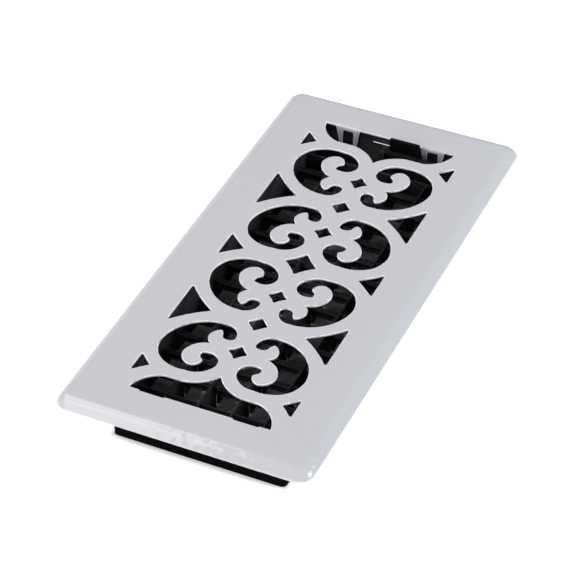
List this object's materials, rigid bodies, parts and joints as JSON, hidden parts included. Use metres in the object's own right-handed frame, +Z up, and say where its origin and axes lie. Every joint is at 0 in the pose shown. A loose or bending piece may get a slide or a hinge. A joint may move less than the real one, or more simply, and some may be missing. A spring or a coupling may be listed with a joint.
{
  "type": "floor register",
  "caption": "Scrollwork floor register: a stamped white faceplate latched over a black damper box whose ganged louvre blades are opened and shut by a thumb lever.",
  "frame": {"origin": "centre of the damper box's foot, under the middle of the faceplate", "axes": "+Z up out of the floor, +Y along the length towards the lever, +X across to the link bar's side"},
  "size_m": [0.1396, 0.2922, 0.0367],
  "materials": {
    "white_enamel": "gloss white powder coat",
    "black_plastic": "moulded, satin to gloss"
  },
  "bodies": {
    "base": {"damper_box": "black_plastic", "faceplate": "white_enamel"},
    "thumb_lever": {"thumb_lever": "black_plastic"},
    "link_bar": {"link_bar": "black_plastic"},
    "louvre_blade_01": {"louvre_blade_01": "black_plastic"},
    "louvre_blade_02": {"louvre_blade_02": "black_plastic"},
    "louvre_blade_03": {"louvre_blade_03": "black_plastic"},
    "louvre_blade_04": {"louvre_blade_04": "black_plastic"},
    "louvre_blade_05": {"louvre_blade_05": "black_plastic"},
    "louvre_blade_06": {"louvre_blade_06": "black_plastic"},
    "louvre_blade_07": {"louvre_blade_07": "black_plastic"},
    "louvre_blade_08": {"louvre_blade_08": "black_plastic"},
    "louvre_blade_09": {"louvre_blade_09": "black_plastic"},
    "louvre_blade_10": {"louvre_blade_10": "black_plastic"},
    "louvre_blade_11": {"louvre_blade_11": "black_plastic"},
    "louvre_blade_12": {"louvre_blade_12": "black_plastic"},
    "louvre_blade_13": {"louvre_blade_13": "black_plastic"},
    "louvre_blade_14": {"louvre_blade_14": "black_plastic"}
  },
  "joints": [
    {"name": "lever_swing", "type": "hinge", "parent": "base", "child": "thumb_lever", "pos_m": [0.0105, 0.116, 0.0262], "axis": [1, 0, 0], "range_deg": [0, 50]},
    {"name": "link_pivot", "type": "hinge", "parent": "thumb_lever", "child": "link_bar", "pos_m": [0.0442, 0.11346, 0.02076], "axis": [1, 0, 0], "range_deg": [-50, 0]},
    {"name": "louvre_blade_01_swing", "type": "hinge", "parent": "base", "child": "louvre_blade_01", "pos_m": [0, -0.09984, 0.0106], "axis": [1, 0, 0], "range_deg": [0, 50]},
    {"name": "louvre_blade_02_swing", "type": "hinge", "parent": "base", "child": "louvre_blade_02", "pos_m": [0, -0.08448, 0.0106], "axis": [1, 0, 0], "range_deg": [0, 50]},
    {"name": "louvre_blade_03_swing", "type": "hinge", "parent": "base", "child": "louvre_blade_03", "pos_m": [0, -0.06912, 0.0106], "axis": [1, 0, 0], "range_deg": [0, 50]},
    {"name": "louvre_blade_04_swing", "type": "hinge", "parent": "base", "child": "louvre_blade_04", "pos_m": [0, -0.05376, 0.0106], "axis": [1, 0, 0], "range_deg": [0, 50]},
    {"name": "louvre_blade_05_swing", "type": "hinge", "parent": "base", "child": "louvre_blade_05", "pos_m": [0, -0.0384, 0.0106], "axis": [1, 0, 0], "range_deg": [0, 50]},
    {"name": "louvre_blade_06_swing", "type": "hinge", "parent": "base", "child": "louvre_blade_06", "pos_m": [0, -0.02304, 0.0106], "axis": [1, 0, 0], "range_deg": [0, 50]},
    {"name": "louvre_blade_07_swing", "type": "hinge", "parent": "base", "child": "louvre_blade_07", "pos_m": [0, -0.00768, 0.0106], "axis": [1, 0, 0], "range_deg": [0, 50]},
    {"name": "louvre_blade_08_swing", "type": "hinge", "parent": "base", "child": "louvre_blade_08", "pos_m": [0, 0.00768, 0.0106], "axis": [1, 0, 0], "range_deg": [0, 50]},
    {"name": "louvre_blade_09_swing", "type": "hinge", "parent": "base", "child": "louvre_blade_09", "pos_m": [0, 0.02304, 0.0106], "axis": [1, 0, 0], "range_deg": [0, 50]},
    {"name": "louvre_blade_10_swing", "type": "hinge", "parent": "base", "child": "louvre_blade_10", "pos_m": [0, 0.0384, 0.0106], "axis": [1, 0, 0], "range_deg": [0, 50]},
    {"name": "louvre_blade_11_swing", "type": "hinge", "parent": "base", "child": "louvre_blade_11", "pos_m": [0, 0.05376, 0.0106], "axis": [1, 0, 0], "range_deg": [0, 50]},
    {"name": "louvre_blade_12_swing", "type": "hinge", "parent": "base", "child": "louvre_blade_12", "pos_m": [0, 0.06912, 0.0106], "axis": [1, 0, 0], "range_deg": [0, 50]},
    {"name": "louvre_blade_13_swing", "type": "hinge", "parent": "base", "child": "louvre_blade_13", "pos_m": [0, 0.08448, 0.0106], "axis": [1, 0, 0], "range_deg": [0, 50]},
    {"name": "louvre_blade_14_swing", "type": "hinge", "parent": "base", "child": "louvre_blade_14", "pos_m": [0, 0.09984, 0.0106], "axis": [1, 0, 0], "range_deg": [0, 50]}
  ],
  "couplings": [
    {"joint": "link_pivot", "follows": "lever_swing", "ratio": -1},
    {"joint": "louvre_blade_01_swing", "follows": "lever_swing", "ratio": 1},
    {"joint": "louvre_blade_02_swing", "follows": "lever_swing", "ratio": 1},
    {"joint": "louvre_blade_03_swing", "follows": "lever_swing", "ratio": 1},
    {"joint": "louvre_blade_04_swing", "follows": "lever_swing", "ratio": 1},
    {"joint": "louvre_blade_05_swing", "follows": "lever_swing", "ratio": 1},
    {"joint": "louvre_blade_06_swing", "follows": "lever_swing", "ratio": 1},
    {"joint": "louvre_blade_07_swing", "follows": "lever_swing", "ratio": 1},
    {"joint": "louvre_blade_08_swing", "follows": "lever_swing", "ratio": 1},
    {"joint": "louvre_blade_09_swing", "follows": "lever_swing", "ratio": 1},
    {"joint": "louvre_blade_10_swing", "follows": "lever_swing", "ratio": 1},
    {"joint": "louvre_blade_11_swing", "follows": "lever_swing", "ratio": 1},
    {"joint": "louvre_blade_12_swing", "follows": "lever_swing", "ratio": 1},
    {"joint": "louvre_blade_13_swing", "follows": "lever_swing", "ratio": 1},
    {"joint": "louvre_blade_14_swing", "follows": "lever_swing", "ratio": 1}
  ]
}
